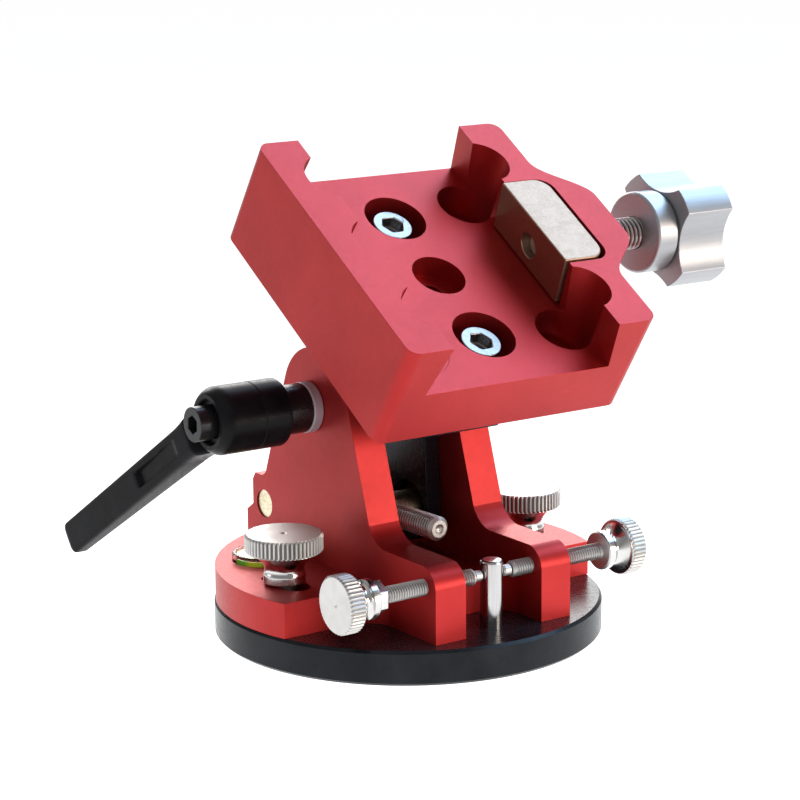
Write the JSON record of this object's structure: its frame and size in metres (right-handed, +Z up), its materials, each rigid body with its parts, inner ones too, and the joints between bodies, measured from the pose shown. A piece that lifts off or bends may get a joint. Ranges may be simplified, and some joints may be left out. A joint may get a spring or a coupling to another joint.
{
  "type": "star tracker mount",
  "caption": "Altitude-azimuth wedge on a round base, with fine adjustment screws, a clamp lever and a tilted dovetail saddle with a moving jaw and star knob.",
  "frame": {"origin": "centre of the tripod thread, on the underside of the base disc", "axes": "+Z up; -Y is the front, the side that the open end of the fork faces; the altitude axis, the azimuth screws and the clamp screw lie along X, and the star knob is on the +X side"},
  "size_m": [0.1369, 0.1187, 0.1203],
  "materials": {
    "red_anodised": "satin red anodised, machined",
    "black_anodised": "satin black anodised",
    "stainless": "turned and knurled stainless steel",
    "dark_steel": "blackened steel",
    "bright_screw": "bright plated cap screw",
    "nickel": "warm nickel-plated jaw",
    "silver_aluminium": "clear anodised, turned",
    "black_plastic": "glass-filled nylon",
    "washer_grey": "plain washer",
    "brass": "turned brass",
    "level_liquid": "tinted level liquid",
    "level_glass": "clear acrylic body and window"
  },
  "bodies": {
    "base": {"base_disc": "black_anodised", "tripod_bush": "stainless", "azimuth_peg": "stainless"},
    "fork": {"azimuth_fork": "red_anodised", "level_cup": "level_glass", "level_fluid": "level_liquid", "level_window": "level_glass", "altitude_bolt": "stainless", "bolt_washer": "washer_grey", "lever_washer": "washer_grey"},
    "lock_left": {"lock_screw_left": "stainless"},
    "lock_right": {"lock_screw_right": "stainless"},
    "tip_left": {"azimuth_tip_left": "stainless"},
    "tip_right": {"azimuth_tip_right": "stainless"},
    "push_left": {"azimuth_screw_left": "stainless", "azimuth_jam_nut": "stainless"},
    "push_right": {"azimuth_screw_right": "stainless"},
    "altitude": {"altitude_block": "black_anodised", "saddle": "red_anodised", "saddle_screws": "bright_screw"},
    "jaw": {"clamp_jaw": "nickel"},
    "clamp": {"clamp_screw": "stainless", "star_knob": "silver_aluminium"},
    "lever": {"lever_insert": "dark_steel", "clamp_lever": "black_plastic", "lever_screw": "dark_steel"},
    "trunnion": {"rear_barrel": "brass"},
    "alt_screw": {"altitude_screw": "stainless", "thrust_collar": "stainless", "altitude_knob": "stainless"},
    "nut": {"nut_barrel": "brass"}
  },
  "joints": [
    {"name": "azimuth_turn", "type": "hinge", "parent": "base", "child": "fork", "pos_m": [0, 0, 0.0084], "axis": [0, 0, 1], "range_deg": [-6.5, 6.5]},
    {"name": "lock_left_turn", "type": "hinge", "parent": "base", "child": "lock_left", "pos_m": [-0.0357, 0, 0.0084], "axis": [0, 0, 1], "range_deg": [-180, 180]},
    {"name": "lock_right_turn", "type": "hinge", "parent": "base", "child": "lock_right", "pos_m": [0.0357, 0, 0.0084], "axis": [0, 0, 1], "range_deg": [-180, 180]},
    {"name": "azimuth_left_travel", "type": "slide", "parent": "fork", "child": "tip_left", "axis": [1, 0, 0], "range_m": [-0.0039, 0.0039]},
    {"name": "azimuth_right_travel", "type": "slide", "parent": "fork", "child": "tip_right", "axis": [1, 0, 0], "range_m": [-0.0039, 0.0039]},
    {"name": "azimuth_left_spin", "type": "hinge", "parent": "tip_left", "child": "push_left", "pos_m": [-0.006, -0.0342, 0.0212], "axis": [1, 0, 0], "range_deg": [-2000, 2000]},
    {"name": "azimuth_right_spin", "type": "hinge", "parent": "tip_right", "child": "push_right", "pos_m": [0.006, -0.0342, 0.0212], "axis": [1, 0, 0], "range_deg": [-2000, 2000]},
    {"name": "altitude_tilt", "type": "hinge", "parent": "fork", "child": "altitude", "pos_m": [0, 0.0126, 0.0554], "axis": [1, 0, 0], "range_deg": [-32.6, 22]},
    {"name": "jaw_travel", "type": "slide", "parent": "altitude", "child": "jaw", "axis": [1, 0, 0], "range_m": [-0.005, 0.001]},
    {"name": "clamp_knob_turn", "type": "hinge", "parent": "jaw", "child": "clamp", "pos_m": [0.04, -0.0169, 0.0941], "axis": [1, 0, 0], "range_deg": [-1441, 289]},
    {"name": "clamp_lever_turn", "type": "hinge", "parent": "fork", "child": "lever", "pos_m": [-0.035, 0.0126, 0.0554], "axis": [1, 0, 0], "range_deg": [-14, 120]},
    {"name": "trunnion_tilt", "type": "hinge", "parent": "fork", "child": "trunnion", "pos_m": [0, 0.0346, 0.0264], "axis": [1, 0, 0], "range_deg": [-6.6, 4.5]},
    {"name": "altitude_screw_turn", "type": "hinge", "parent": "trunnion", "child": "alt_screw", "pos_m": [0, 0.0346, 0.0264], "axis": [0, 0.9999, -0.0163], "range_deg": [-3960, 5860]},
    {"name": "nut_travel", "type": "slide", "parent": "trunnion", "child": "nut", "axis": [0, 0.9999, -0.0163], "range_m": [-0.0163, 0.011]}
  ],
  "couplings": [
    {"joint": "azimuth_left_travel", "follows": "azimuth_turn", "m_per_rad": -0.0342},
    {"joint": "azimuth_right_travel", "follows": "azimuth_turn", "m_per_rad": -0.0342},
    {"joint": "azimuth_left_spin", "follows": "azimuth_turn", "ratio": -306.98},
    {"joint": "azimuth_right_spin", "follows": "azimuth_turn", "ratio": -306.98},
    {"joint": "clamp_knob_turn", "follows": "jaw_travel", "rad_per_m": 5026.5},
    {"joint": "trunnion_tilt", "follows": "altitude_tilt", "ratio": 0.2},
    {"joint": "nut_travel", "follows": "altitude_tilt", "m_per_rad": 0.0285},
    {"joint": "altitude_screw_turn", "follows": "altitude_tilt", "ratio": -179.07}
  ]
}
